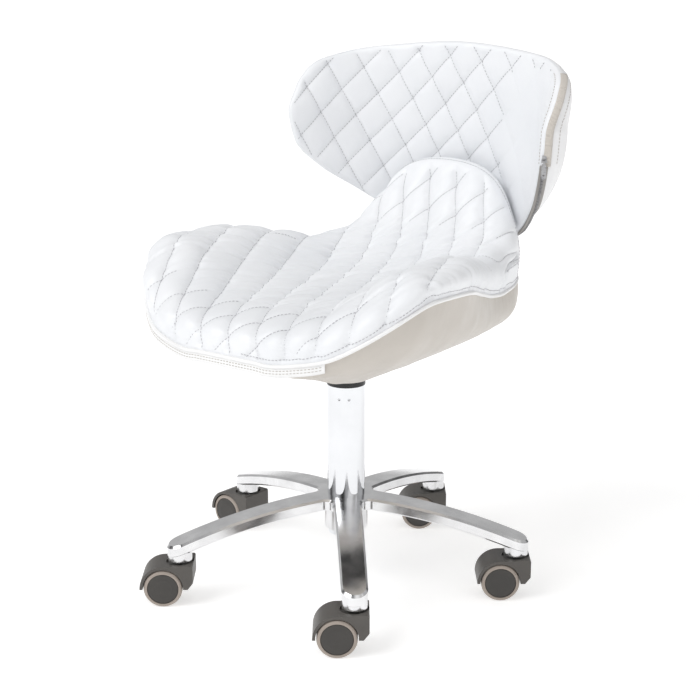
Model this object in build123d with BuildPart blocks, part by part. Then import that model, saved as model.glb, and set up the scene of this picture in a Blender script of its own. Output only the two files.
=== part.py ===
"""Rolling stylist stool: star base on five twin-wheel casters, gas-spring column, quilted seat with a
raised rear tongue, and a wrapped wing-shaped back.

Units are millimetres. The origin is on the floor under the column's axis. +Z is up, the sitter faces -Y
and the sitter's left is +X.
"""
from build123d import *
import math
import os

os.makedirs("parts", exist_ok=True)

# ------------------------------------------------------------------ driving dimensions
RUN = 0.05               # radial clearance of every running fit
GAP = 0.3                # air left between soft pieces and their neighbours

# star base
ARM_COUNT = 5
BASE_TURN = 21.5         # direction of the first arm, in degrees from +X
STEM_CIRCLE = 230.0      # radius of the circle through the caster stems
ARM_HALF_ROOT = 18.5
ARM_HALF_TIP = 16.5
ARM_CREST = (121.5, 110.0, 78.0)   # height of the crest at the axis, halfway and at the tip
ARM_DEPTH = 16.0
CREST_CHAMFER = 2.6
NOTCH_REACH = 36.0       # the corners between neighbouring arms lie nearer the axis than this
NOTCH_FILLET = 12.0
CASTING_WALL = 4.0
HUB_RADIUS = 28.5
HUB_BOTTOM = 74.0
HUB_TOP = 122.0
BOSS_BOTTOM = 58.0
BOSS_TOP = 72.0
BOSS_RADIUS = 15.8
RIB_RADII = (66.0, 104.0, 142.0, 180.0)

# column and gas spring
TUBE_RADIUS = 25.0
TUBE_WALL = 2.0
TUBE_BOTTOM = 66.0
TUBE_TOP = 271.5
TAPER_RADIUS = 24.0      # the tube's radius at its lower end, inside the hub
COLLAR_TOP = 279.0
COLLAR_RADIUS = 25.3
BUSH_BOTTOM = 190.0
CYLINDER_RADIUS = 14.0
CYLINDER_BORE = 12.0
CYLINDER_BOTTOM = 88.5
CYLINDER_TOP = 307.0
VALVE_BOTTOM = 286.0
ROD_RADIUS = 5.0
ROD_BOTTOM = 60.0
PISTON_BOTTOM = 226.0
PISTON_TOP = 238.0
BUTTON_RADIUS = 4.0
BUTTON_TOP = 314.0

# seat plate, board and lever
PLATE_HALF = 75.0
PLATE_TOP = 322.0
PLATE_SHEET = 3.0
TRAY_HALF = 45.0
TRAY_BOTTOM = 298.0
BOARD_THICK = 12.0
BOLT_SPACING = 118.0
BOLT_RADIUS = 3.0
LEVER_RADIUS = 3.5
LEVER_Z = 315.0
LEVER_PIN_X = -43.5       # the lever's pivot pin lies in the tray's wall
LEVER_PIN_Z = 313.5
LEVER_PIN_RADIUS = 1.4
BOSS_RISE = 8.0           # height of the socket round the cylinder's cone

# casters
WHEEL_RADIUS = 25.0
CORE_RADIUS = 20.3
WHEEL_INNER = 6.5        # distance of a wheel's inner face from the caster's middle plane
WHEEL_OUTER = 24.5
TRAIL = 21.0
HOOD_RADIUS = 30.0
HOOD_HALF = 23.5
WEB_HALF = 5.8
HOOD_TOP = 56.5
HOOD_FRONT = 18.0
AXLE_RADIUS = 3.0
STEM_RADIUS = 5.5
PIVOT_RADIUS = 4.0
STEM_BOTTOM = 35.0
STEM_TOP = 74.0
CASTER_HEADINGS = (217.0, 217.0, 177.0, 217.0, 217.0)   # direction each caster trails, in degrees

# seat: half sections across the seat, from its piping edge over the side crown to the middle line.
# Each is (y, edge, side, crown, inner, middle) with points as (x, z).
PAD_SECTIONS = (
    (-233, (64, 357), (66, 364), (50, 374), (25, 376), (0, 376)),
    (-212, (142, 374), (143, 384), (120, 396), (60, 396), (0, 396)),
    (-170, (189, 407), (193, 424), (172, 431), (90, 412), (0, 408)),
    (-115, (213, 432), (215, 452), (190, 463), (92, 421), (0, 411)),
    (-40, (208, 428), (210, 452), (188, 464), (90, 424), (0, 412)),
    (40, (180, 408), (184, 432), (166, 450), (84, 422), (0, 416)),
    (110, (152, 389), (157, 420), (138, 437), (72, 429), (0, 425)),
    (165, (136, 381), (141, 418), (124, 441), (70, 452), (0, 454)),
    (205, (126, 381), (131, 420), (113, 464), (72, 496), (0, 502)),
    (236, (114, 383), (117, 425), (101, 470), (68, 515), (0, 540)),
    (250, (104, 388), (106, 425), (90, 470), (60, 515), (0, 538)),
)
# The cover under the piping: (y, bulge, flat) with points as (x, z), edges as on the pad.
UNDER_SECTIONS = (
    (-233, (60, 350), (48, 346)),
    (-212, (136, 360), (100, 343)),
    (-170, (180, 378), (112, 330)),
    (-115, (200, 388), (116, 322)),
    (-40, (196, 380), (116, 322)),
    (40, (174, 368), (112, 322)),
    (110, (152, 356), (108, 322)),
    (165, (138, 352), (104, 322)),
    (205, (128, 354), (100, 324)),
    (236, (114, 362), (88, 336)),
    (250, (103, 370), (78, 348)),
)
PAD_THICK = 36.0
PIPING_RADIUS = 2.5
BOARD_SIZE = (186.0, 296.0)
BOARD_MIDDLE_Y = 34.0

# back: sections by height, each (z, tip x, tip y, front y at the middle, thickness factor)
BACK_SECTIONS = (
    (332, 42, 262, 262, 1.0),
    (400, 48, 262, 262, 1.0),
    (446, 104, 249, 260, 0.9),
    (480, 135, 218, 262, 1.0),
    (520, 169, 172, 263, 1.0),
    (560, 191, 142, 264, 1.0),
    (600, 197, 136, 264, 1.0),
    (640, 199, 156, 260, 1.0),
    (668, 188, 196, 255, 0.9),
    (688, 130, 244, 252, 0.7),
    (697, 60, 256, 252, 0.4),
)
SHELL_LOW = 2            # the curved shell spans these sections only
SHELL_HIGH = 8
BACK_THICK = 30.0
PAD_LAYER = (0.0, 15.0)
SHELL_LAYER = (15.8, 19.6)
COVER_LAYER = (20.4, BACK_THICK)
SHELL_INSET = 0.9        # the shell's width as a share of the cushions' width
BRACKET_HALF = 25.0
BRACKET_SHEET = 5.0
BRACKET_Y = 276.0        # front face of the bracket's upright
BRACKET_TOP = 560.0
BRACKET_FRONT = 110.0
BACK_CLOSING = 3.8        # how sharply the back's curve closes in towards its tips
SCREW_LENGTH = 15.0
ZIP_SECTIONS = (2, 3, 4, 5)   # the back sections that the zip passes, from its lower end up
ZIP_RADIUS = 2.0
RIM_ROOM = 3.2           # the zip stands this far off the rim's faces
PULL_AXIS = 8.6          # height of the pull's hinge above the seam


def save(part, name):
    """Label a finished piece and write it to its own STEP file."""
    part.label = name
    export_step(part, f"parts/{name}.step")


def arm_angles():
    return [BASE_TURN + 360.0 / ARM_COUNT * k for k in range(ARM_COUNT)]


def stem_places():
    """The five stem positions on the stem circle."""
    return PolarLocations(STEM_CIRCLE, ARM_COUNT, start_angle=BASE_TURN, rotate=False)


def tube(outer, inner, low, high):
    """A plain ring or sleeve about the column's axis."""
    with BuildPart() as ring:
        with BuildSketch(Plane.XY.offset(low)):
            Circle(outer)
            Circle(inner, mode=Mode.SUBTRACT)
        extrude(amount=high - low)
    return ring.part


# ------------------------------------------------------------------ star base
def star_plan(inset):
    """The casting's plan: five tapering arms with rounded tips, filleted where neighbours meet."""
    root = ARM_HALF_ROOT - inset
    tip = ARM_HALF_TIP - inset
    with BuildSketch() as plan:
        for angle in arm_angles():
            Polygon(
                (0, -root), (STEM_CIRCLE, -tip), (STEM_CIRCLE, tip), (0, root),
                rotation=angle, align=None)
        with stem_places():
            Circle(tip)
        notches = plan.vertices().filter_by(lambda v: v.center().length < NOTCH_REACH)
        fillet(notches, radius=NOTCH_FILLET)
    return plan.sketch


def crest_band(upper, lower):
    """The round solid between two copies of the arm's crest line, lowered by upper and lower."""
    reach = STEM_CIRCLE + ARM_HALF_TIP
    root_z, middle_z, tip_z = ARM_CREST
    with BuildPart() as band:
        with BuildSketch(Plane.XZ):
            with BuildLine():
                top = ThreePointArc(
                    (0, root_z - upper), (reach / 2, middle_z - upper), (reach, tip_z - upper))
                low = ThreePointArc(
                    (reach, tip_z - lower), (reach / 2, middle_z - lower), (0, root_z - lower))
                Line(top @ 1, low @ 0)
                Line(low @ 1, top @ 0)
            make_face()
        revolve(axis=Axis.Z)
    return band.part


def make_arms():
    """The five solid arms, with the long chamfers that run beside their flat crests."""
    with BuildPart() as arms:
        extrude(star_plan(0), amount=ARM_CREST[0] + 10)
        add(crest_band(0, ARM_DEPTH), mode=Mode.INTERSECT)
        crest = arms.faces().sort_by(Axis.Z)[-1]
        chamfer(crest.outer_wire().edges(), length=CREST_CHAMFER)
    return arms.part


def make_pocket():
    """The hollow under the arms, interrupted by round ribs, the hub and the bosses."""
    with BuildPart() as pocket:
        extrude(star_plan(CASTING_WALL), amount=ARM_CREST[0])
        add(crest_band(CASTING_WALL + 1, 90), mode=Mode.INTERSECT)
        with BuildSketch():
            Circle(HUB_RADIUS + 6)
            with stem_places():
                Circle(ARM_HALF_TIP)
        extrude(amount=ARM_CREST[0], mode=Mode.SUBTRACT)
        for radius in RIB_RADII:
            add(tube(radius + 1.5, radius - 1.5, 0, ARM_CREST[0]), mode=Mode.SUBTRACT)
    return pocket.part


def make_star_base():
    with BuildPart() as base:
        add(make_arms())
        with BuildSketch(Plane.XY.offset(HUB_BOTTOM)):
            Circle(HUB_RADIUS)
        extrude(amount=ARM_CREST[0] - ARM_DEPTH + 4 - HUB_BOTTOM)
        with BuildSketch(Plane.XY.offset(BOSS_BOTTOM)):
            with stem_places():
                Circle(BOSS_RADIUS)
        extrude(amount=BOSS_TOP - BOSS_BOTTOM)
        add(make_pocket(), mode=Mode.SUBTRACT)
        with BuildSketch(Plane.XY.offset(BOSS_BOTTOM)):
            with stem_places():
                Circle(STEM_RADIUS)
        extrude(amount=STEM_TOP - BOSS_BOTTOM, mode=Mode.SUBTRACT)
        with BuildSketch(Plane.XZ):
            with BuildLine():
                Polyline(
                    (0, TUBE_BOTTOM), (TAPER_RADIUS, TUBE_BOTTOM), (TUBE_RADIUS, HUB_TOP),
                    (TUBE_RADIUS, HUB_TOP + 20), (0, HUB_TOP + 20), close=True)
            make_face()
        revolve(axis=Axis.Z, mode=Mode.SUBTRACT)
    save(base.part, "star_base")


# ------------------------------------------------------------------ column
def make_column():
    inner = TUBE_RADIUS - TUBE_WALL
    with BuildPart() as column:
        with BuildSketch(Plane.XZ):
            with BuildLine():
                Polyline(
                    (ROD_RADIUS + RUN, TUBE_BOTTOM), (TAPER_RADIUS, TUBE_BOTTOM), (TUBE_RADIUS, HUB_TOP),
                    (TUBE_RADIUS, TUBE_TOP), (inner, TUBE_TOP), (inner, HUB_TOP),
                    (TAPER_RADIUS - TUBE_WALL, TUBE_BOTTOM + 4), (ROD_RADIUS + RUN, TUBE_BOTTOM + 4),
                    close=True)
            make_face()
        revolve(axis=Axis.Z)
        for angle in (-75.0, -44.5, 105.0, 135.5):
            dimple = Plane.XY.offset(TUBE_TOP - 16) * Rotation(0, 0, angle) * Pos(TUBE_RADIUS + 0.6, 0, 0)
            with Locations(Location(dimple)):
                Sphere(1.9, mode=Mode.SUBTRACT)
    save(column.part, "column_tube")

    with BuildPart() as collar:
        with BuildSketch(Plane.XZ):
            with BuildLine():
                Polyline(
                    (CYLINDER_RADIUS + 1, TUBE_TOP), (COLLAR_RADIUS, TUBE_TOP),
                    (COLLAR_RADIUS, COLLAR_TOP - 0.8), (COLLAR_RADIUS - 0.8, COLLAR_TOP),
                    (COLLAR_RADIUS - 4, COLLAR_TOP), (COLLAR_RADIUS - 4, COLLAR_TOP - 4),
                    (CYLINDER_RADIUS + 4, COLLAR_TOP - 4), (CYLINDER_RADIUS + 4, COLLAR_TOP - 1),
                    (CYLINDER_RADIUS + 1, COLLAR_TOP - 1), close=True)
            make_face()
        revolve(axis=Axis.Z)
    save(collar.part, "column_collar")

    bush = tube(inner, CYLINDER_RADIUS + RUN, BUSH_BOTTOM, TUBE_TOP)
    save(bush, "guide_bush")


def make_gas_spring():
    plate_top = TUBE_BOTTOM + 4
    washer = 1.0
    ball = 1.7
    with BuildPart() as bearing:
        with BuildSketch(Plane.XY.offset(plate_top)):
            Circle(14)
            Circle(ROD_RADIUS + RUN, mode=Mode.SUBTRACT)
        extrude(amount=washer)
        with BuildSketch(Plane.XY.offset(plate_top + washer + 2 * ball + 0.1)):
            Circle(14)
            Circle(ROD_RADIUS + RUN, mode=Mode.SUBTRACT)
        extrude(amount=washer)
        with Locations((0, 0, plate_top + washer + ball + 0.05)):
            with PolarLocations(10, 12):
                Sphere(ball)
    save(bearing.part, "thrust_bearing")

    shoulder = plate_top + 2 * washer + 2 * ball + 0.1
    with BuildPart() as rod:
        with BuildSketch(Plane.XZ):
            with BuildLine():
                Polyline(
                    (0, ROD_BOTTOM), (ROD_RADIUS - 1, ROD_BOTTOM), (ROD_RADIUS, ROD_BOTTOM + 1),
                    (ROD_RADIUS, 63.5), (ROD_RADIUS - 1, 63.5), (ROD_RADIUS - 1, TUBE_BOTTOM - 1),
                    (ROD_RADIUS, TUBE_BOTTOM - 1), (ROD_RADIUS, shoulder), (8, shoulder),
                    (8, shoulder + 2), (ROD_RADIUS, shoulder + 2), (ROD_RADIUS, PISTON_TOP),
                    (0, PISTON_TOP), close=True)
            make_face()
        revolve(axis=Axis.Z)
    save(rod.part, "piston_rod")
    save(tube(11.0, ROD_RADIUS, shoulder + 2, CYLINDER_BOTTOM - 0.3), "rubber_buffer")

    with BuildPart() as clip:
        with BuildSketch(Plane.XY.offset(63.5)):
            Circle(9)
            Circle(ROD_RADIUS - 1, mode=Mode.SUBTRACT)
            with Locations((9, 0)):
                Rectangle(12, 5, mode=Mode.SUBTRACT)
        extrude(amount=TUBE_BOTTOM - 1 - 63.5)
    save(clip.part, "rod_clip")

    with BuildPart() as piston:
        with BuildSketch(Plane.XZ):
            with BuildLine():
                edge = CYLINDER_BORE - RUN
                Polyline(
                    (ROD_RADIUS, PISTON_BOTTOM), (edge, PISTON_BOTTOM), (edge, PISTON_BOTTOM + 4),
                    (edge - 2, PISTON_BOTTOM + 4), (edge - 2, PISTON_TOP - 4), (edge, PISTON_TOP - 4),
                    (edge, PISTON_TOP), (ROD_RADIUS, PISTON_TOP), close=True)
            make_face()
        revolve(axis=Axis.Z)
    save(piston.part, "piston")

    with BuildPart() as cylinder:
        with BuildSketch(Plane.XZ):
            with BuildLine():
                bore = BUTTON_RADIUS + RUN
                Polyline(
                    (CYLINDER_BORE, CYLINDER_BOTTOM), (CYLINDER_RADIUS, CYLINDER_BOTTOM),
                    (CYLINDER_RADIUS, TRAY_BOTTOM), (CYLINDER_RADIUS - 0.5, CYLINDER_TOP),
                    (bore, CYLINDER_TOP), (bore, VALVE_BOTTOM + 4), (0, VALVE_BOTTOM + 4),
                    (0, VALVE_BOTTOM), (CYLINDER_BORE, VALVE_BOTTOM), close=True)
            make_face()
        revolve(axis=Axis.Z)
    save(cylinder.part, "gas_cylinder")
    save(tube(CYLINDER_BORE, ROD_RADIUS + RUN, CYLINDER_BOTTOM, CYLINDER_BOTTOM + 16), "rod_guide")

    with BuildPart() as button:
        with BuildSketch(Plane.XY.offset(VALVE_BOTTOM + 9)):
            Circle(BUTTON_RADIUS)
        extrude(amount=BUTTON_TOP - VALVE_BOTTOM - 9)
        fillet(button.faces().sort_by(Axis.Z)[-1].edges(), radius=1)
    save(button.part, "release_button")


# ------------------------------------------------------------------ seat plate and lever
def bolt_places():
    return GridLocations(BOLT_SPACING, BOLT_SPACING, 2, 2)


def make_seat_plate():
    with BuildPart() as plate:
        with BuildSketch(Plane.XY.offset(PLATE_TOP - PLATE_SHEET)):
            RectangleRounded(2 * PLATE_HALF, 2 * PLATE_HALF, 14)
            with bolt_places():
                Circle(BOLT_RADIUS + 0.4, mode=Mode.SUBTRACT)
        extrude(amount=PLATE_SHEET)
        with BuildSketch(Plane.XY.offset(TRAY_BOTTOM)):
            RectangleRounded(2 * TRAY_HALF, 2 * TRAY_HALF, 12)
        extrude(amount=PLATE_TOP - TRAY_BOTTOM - PLATE_SHEET)
        with BuildSketch(Plane.XY.offset(TRAY_BOTTOM + PLATE_SHEET)):
            inside = 2 * (TRAY_HALF - PLATE_SHEET)
            RectangleRounded(inside, inside, 9)
        extrude(amount=PLATE_TOP - TRAY_BOTTOM, mode=Mode.SUBTRACT)
        with BuildSketch(Plane.XY.offset(TRAY_BOTTOM)):
            Circle(CYLINDER_RADIUS + 5)
        extrude(amount=BOSS_RISE)
        with BuildSketch(Plane.XZ):
            with BuildLine():
                Polyline(
                    (0, TRAY_BOTTOM), (CYLINDER_RADIUS, TRAY_BOTTOM),
                    (CYLINDER_RADIUS - 0.5, CYLINDER_TOP), (0, CYLINDER_TOP), close=True)
            make_face()
        revolve(axis=Axis.Z, mode=Mode.SUBTRACT)
        with Locations((-TRAY_HALF, 0, LEVER_Z - 1.5)):
            Box(12, 2 * LEVER_RADIUS + 1.5, 11, mode=Mode.SUBTRACT)
        with Locations((LEVER_PIN_X, 0, LEVER_PIN_Z)):
            Cylinder(LEVER_PIN_RADIUS, 4 * LEVER_RADIUS, rotation=(90, 0, 0))
    save(plate.part, "seat_plate")

    head_low = PLATE_TOP - PLATE_SHEET - 4
    with BuildPart() as bolts:
        with BuildSketch(Plane.XY.offset(head_low)):
            with bolt_places():
                Circle(6)
                RegularPolygon(3, 6, mode=Mode.SUBTRACT)
        extrude(amount=2.5)
        with BuildSketch(Plane.XY.offset(head_low + 2.5)):
            with bolt_places():
                Circle(6)
        extrude(amount=1.5)
        with BuildSketch(Plane.XY.offset(head_low + 4)):
            with bolt_places():
                Circle(BOLT_RADIUS)
        extrude(amount=PLATE_SHEET + BOARD_THICK - 2)
    save(bolts.part, "seat_bolts")

    with BuildPart() as nuts:
        with BuildSketch(Plane.XY.offset(PLATE_TOP + 2)):
            with bolt_places():
                Circle(BOLT_RADIUS + 1.5)
                Circle(BOLT_RADIUS, mode=Mode.SUBTRACT)
        extrude(amount=BOARD_THICK - 2)
        with BuildSketch(Plane.XY.offset(PLATE_TOP + BOARD_THICK)):
            with bolt_places():
                Circle(9)
                Circle(BOLT_RADIUS, mode=Mode.SUBTRACT)
        extrude(amount=1.5)
    save(nuts.part, "t_nuts")


def lever_line():
    """The lever's route from above the valve pin, out through the tray wall to the sitter's right."""
    with BuildLine() as line:
        FilletPolyline(
            (-8, 0, LEVER_Z), (-62, 0, LEVER_Z - 2), (-150, 0, 302), (-206, 0, 300), radius=30)
    return line


def make_lever():
    line = lever_line()
    with BuildPart() as lever:
        with BuildLine():
            add(line.line)
        with BuildSketch(Plane(origin=line.line @ 0, z_dir=line.line % 0)):
            Circle(LEVER_RADIUS)
        sweep()
        with BuildSketch(Plane.XY.offset(BUTTON_TOP)):
            RectangleRounded(18, 12, 3)
        extrude(amount=3)
        with Locations((-8, 0, BUTTON_TOP + 1.5)):
            Box(8, 7, 3)
        with Locations((LEVER_PIN_X, 0, LEVER_PIN_Z)):
            Cylinder(LEVER_PIN_RADIUS + RUN, 4 * LEVER_RADIUS, rotation=(90, 0, 0), mode=Mode.SUBTRACT)
    save(lever.part, "release_lever")

    end = line.line @ 1
    start = Vector(-150, 0, 302)
    with BuildPart() as grip:
        with BuildSketch(Plane(origin=start, z_dir=end - start)):
            Ellipse(9, 11)
        with BuildSketch(Plane(origin=start + (end - start) * 0.5, z_dir=end - start)):
            Ellipse(7, 13)
        with BuildSketch(Plane(origin=start + (end - start) * 1.06, z_dir=end - start)):
            Ellipse(5, 11)
        loft()
        add(lever.part, mode=Mode.SUBTRACT)
    save(grip.part, "lever_grip")


# ------------------------------------------------------------------ casters
def caster_plane(angle, heading):
    """A plane through a stem: x runs the way the caster trails, y along the axle, z up."""
    x = STEM_CIRCLE * math.cos(math.radians(angle))
    y = STEM_CIRCLE * math.sin(math.radians(angle))
    trail = (math.cos(math.radians(heading)), math.sin(math.radians(heading)), 0)
    return Plane(origin=(x, y, 0), x_dir=trail, z_dir=(0, 0, 1))


def hood_profile():
    """Side view of the hood, stem axis at x = 0, with the wheel's clearance cut away."""
    clear = WHEEL_RADIUS + 1.2
    with BuildSketch(Plane.XZ.offset(-HOOD_HALF)) as profile:
        with BuildLine():
            crown = CenterArc((TRAIL, WHEEL_RADIUS), HOOD_RADIUS, 0, 90)
            top = Spline(crown @ 1, (-HOOD_FRONT + 1.5, HOOD_TOP), tangents=((-1, 0), (-1, 0)))
            front = Polyline(
                top @ 1, (-HOOD_FRONT, HOOD_TOP - 1.5), (-HOOD_FRONT, 33), (-11, 24), (TRAIL, 24))
            Polyline(front @ 1, (TRAIL + HOOD_RADIUS, 24), crown @ 0)
        make_face()
        with Locations((TRAIL, WHEEL_RADIUS)):
            Circle(clear, mode=Mode.SUBTRACT)
    return profile.sketch


def web_profile():
    """Side view of the thin web that carries the axle between the wheels."""
    with BuildSketch(Plane.XZ.offset(-WEB_HALF)) as profile:
        with Locations((TRAIL, WHEEL_RADIUS)):
            Circle(11)
        with BuildLine():
            Polyline(
                (TRAIL, WHEEL_RADIUS - 11), (TRAIL + 9, WHEEL_RADIUS), (TRAIL + 9, 53), (-9, 50),
                (-9, 33), (0, 26), close=True)
        make_face()
        with Locations((TRAIL, WHEEL_RADIUS)):
            Circle(AXLE_RADIUS, mode=Mode.SUBTRACT)
    return profile.sketch


def make_caster(number, angle, heading):
    place = caster_plane(angle, heading)
    with BuildPart() as hood:
        extrude(hood_profile(), amount=2 * HOOD_HALF)
        extrude(web_profile(), amount=2 * WEB_HALF)
        with BuildSketch(Plane.XY.offset(HOOD_TOP - 4)):
            Circle(ARM_HALF_TIP + 1.5)
        extrude(amount=12, mode=Mode.SUBTRACT)
        with BuildSketch(Plane.XY.offset(STEM_BOTTOM - 2)):
            Circle(PIVOT_RADIUS + RUN)
        extrude(amount=40, mode=Mode.SUBTRACT)
    save(place.from_local_coords(hood.part), f"caster_{number}_hood")

    half_axle = WHEEL_OUTER - 5
    with BuildPart() as axle:
        with BuildSketch(Plane.XZ.offset(-half_axle)):
            with Locations((TRAIL, WHEEL_RADIUS)):
                Circle(AXLE_RADIUS)
        extrude(amount=2 * half_axle)
    save(place.from_local_coords(axle.part), f"caster_{number}_axle")

    axis = Axis((TRAIL, 0, WHEEL_RADIUS), (0, 1, 0))
    for side, name in ((1, "a"), (-1, "b")):
        with BuildPart() as core:
            with BuildSketch(Plane.XY.offset(WHEEL_RADIUS)):
                with BuildLine():
                    hub = TRAIL + AXLE_RADIUS + RUN
                    rim = TRAIL + CORE_RADIUS
                    Polyline(
                        (hub, side * WHEEL_INNER), (TRAIL + 8, side * WHEEL_INNER),
                        (TRAIL + 8, side * (WHEEL_OUTER - 7)), (rim - 2.5, side * (WHEEL_OUTER - 7)),
                        (rim - 2.5, side * (WHEEL_INNER + 1)), (rim, side * (WHEEL_INNER + 1)),
                        (rim, side * (WHEEL_OUTER - 1.5)), (rim - 1.5, side * (WHEEL_OUTER - 0.6)),
                        (TRAIL + 12, side * WHEEL_OUTER), (TRAIL, side * WHEEL_OUTER),
                        (TRAIL, side * (WHEEL_OUTER - 4.5)), (hub, side * (WHEEL_OUTER - 4.5)),
                        close=True)
                make_face()
            revolve(axis=axis)
        save(place.from_local_coords(core.part), f"caster_{number}_wheel_{name}")
        with BuildPart() as tread:
            with BuildSketch(Plane.XY.offset(WHEEL_RADIUS)):
                with BuildLine():
                    tire = TRAIL + WHEEL_RADIUS
                    low = WHEEL_INNER + 1
                    high = WHEEL_OUTER - 0.6
                    Polyline(
                        (rim, side * low), (tire - 2, side * low), (tire, side * (low + 2)),
                        (tire, side * (high - 3.4)), (tire - 0.9, side * (high - 1.2)),
                        (tire - 2.4, side * high), (rim, side * high), close=True)
                make_face()
            revolve(axis=axis)
        save(place.from_local_coords(tread.part), f"caster_{number}_tread_{name}")


def make_caster_stems():
    with BuildPart() as stems:
        with BuildSketch(Plane.XY.offset(BOSS_BOTTOM)):
            with stem_places():
                Circle(STEM_RADIUS)
        extrude(amount=STEM_TOP - BOSS_BOTTOM)
        with BuildSketch(Plane.XY.offset(STEM_BOTTOM)):
            with stem_places():
                Circle(PIVOT_RADIUS)
        extrude(amount=BOSS_BOTTOM - STEM_BOTTOM)
        with BuildSketch(Plane.XY.offset(BOSS_BOTTOM - 1.5)):
            with stem_places():
                Circle(9)
        extrude(amount=1.5)
    save(stems.part, "caster_stems")


# ------------------------------------------------------------------ seat
def seam_points(points, flat):
    """The hidden seam between pad and under cover, dipping from the edges below the dished seat."""
    edge = points[0]
    middle = points[-1]
    low = max(min(middle[1] - PAD_THICK, edge[1] - 6), flat[1] + 5)
    return [edge, (0.6 * edge[0], low), (-0.6 * edge[0], low), (-edge[0], edge[1])]


def pad_section(y, points, flat):
    """One closed section of the pad: the crown above, the dipping seam below."""
    seam = [(x, z + GAP) for x, z in seam_points(points, flat)]
    right = [seam[0], *points[1:]]
    left = [(-x, z) for x, z in right[:-1]]
    with BuildSketch(Plane.XZ.offset(-y)) as section:
        with BuildLine():
            Spline(*left, *reversed(right))
            Spline(*seam)
        make_face()
    return section.sketch


def under_section(y, points, bulge, flat):
    """One closed section of the under cover."""
    seam = seam_points(points, flat)
    with BuildSketch(Plane.XZ.offset(-y)) as section:
        with BuildLine():
            Spline(*seam)
            Spline(seam[0], bulge, flat)
            Line(flat, (-flat[0], flat[1]))
            Spline((-flat[0], flat[1]), (-bulge[0], bulge[1]), seam[-1])
        make_face()
    return section.sketch


def smooth_route(points):
    """A route of straight runs joined by tangent arcs, each as large as its two runs allow."""
    corners = []
    for before, here, after in zip(points, points[1:], points[2:]):
        turn = math.radians((here - before).get_angle(after - here))
        shorter = min((here - before).length, (after - here).length)
        corners.append(0.45 * shorter / math.tan(turn / 2))
    return FilletPolyline(*points, radius=corners)


def piping_tube(radius):
    """A tube round the seat's edge, its two ends meeting behind the tongue."""
    right = [Vector(edge[0] + 1, y, edge[1]) for y, edge, *_ in PAD_SECTIONS]
    left = [Vector(-p.X, p.Y, p.Z) for p in right]
    rear_y = PAD_SECTIONS[-1][0] + PIPING_RADIUS + 1
    rear_z = PAD_SECTIONS[-1][1][1] + 1
    rear_x = right[-1].X * 0.7
    rear = [Vector(GAP, rear_y, rear_z - 1), Vector(rear_x, rear_y, rear_z)]
    rear_left = [Vector(-p.X, p.Y, p.Z) for p in reversed(rear)]
    front = Vector(0, PAD_SECTIONS[0][0] - PIPING_RADIUS, PAD_SECTIONS[0][1][1] - 1)
    with BuildPart() as piping:
        with BuildLine() as path:
            smooth_route([*rear, *reversed(right), front, *left, *rear_left])
        with BuildSketch(Plane(origin=path.line @ 0, z_dir=path.line % 0)):
            Circle(radius)
        sweep(path=path.line)
    return piping.part


def bracket_solid(grow):
    """The L-shaped bracket, or the room it needs when grow is more than 0."""
    board_top = PLATE_TOP + BOARD_THICK
    with BuildPart() as bracket:
        with BuildSketch(Plane.YZ.offset(-BRACKET_HALF - grow)):
            with BuildLine():
                outline = FilletPolyline(
                    (BRACKET_FRONT, board_top + BRACKET_SHEET / 2),
                    (BRACKET_Y + BRACKET_SHEET / 2, board_top + BRACKET_SHEET / 2),
                    (BRACKET_Y + BRACKET_SHEET / 2, BRACKET_TOP), radius=14)
            trace(outline, line_width=BRACKET_SHEET + 2 * grow)
        extrude(amount=2 * (BRACKET_HALF + grow))
    return bracket.part


def make_seat():
    board_top = PLATE_TOP + BOARD_THICK
    with BuildPart() as board:
        with BuildSketch(Plane.XY.offset(PLATE_TOP)):
            with Locations((0, BOARD_MIDDLE_Y)):
                RectangleRounded(*BOARD_SIZE, 45)
            with bolt_places():
                Circle(BOLT_RADIUS + 1.5, mode=Mode.SUBTRACT)
        extrude(amount=BOARD_THICK)
    save(board.part, "seat_shell")

    pipe_room = piping_tube(PIPING_RADIUS + GAP)
    save(piping_tube(PIPING_RADIUS), "seat_piping")

    with BuildPart() as pad:
        loft([
            pad_section(y, points, under[2])
            for (y, *points), under in zip(PAD_SECTIONS, UNDER_SECTIONS)], ruled=True)
        add(pipe_room, mode=Mode.SUBTRACT)
        add(bracket_solid(GAP), mode=Mode.SUBTRACT)
    save(pad.part, "seat_cushion")

    with BuildPart() as under:
        loft([
            under_section(y, pad[1:], bulge, flat)
            for (y, bulge, flat), pad in zip(UNDER_SECTIONS, PAD_SECTIONS)], ruled=True)
        add(pipe_room, mode=Mode.SUBTRACT)
        add(bracket_solid(GAP), mode=Mode.SUBTRACT)
        with BuildSketch(Plane.XY.offset(PLATE_TOP - 20)):
            with Locations((0, BOARD_MIDDLE_Y)):
                RectangleRounded(BOARD_SIZE[0] + 2 * GAP, BOARD_SIZE[1] + 2 * GAP, 45 + GAP)
        extrude(amount=BOARD_THICK + 20, mode=Mode.SUBTRACT)
        with BuildSketch(Plane.XY.offset(board_top)):
            with bolt_places():
                Circle(9 + GAP)
        extrude(amount=5, mode=Mode.SUBTRACT)
    save(under.part.solids().sort_by(SortBy.VOLUME)[-1], "seat_under_cover")


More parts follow.
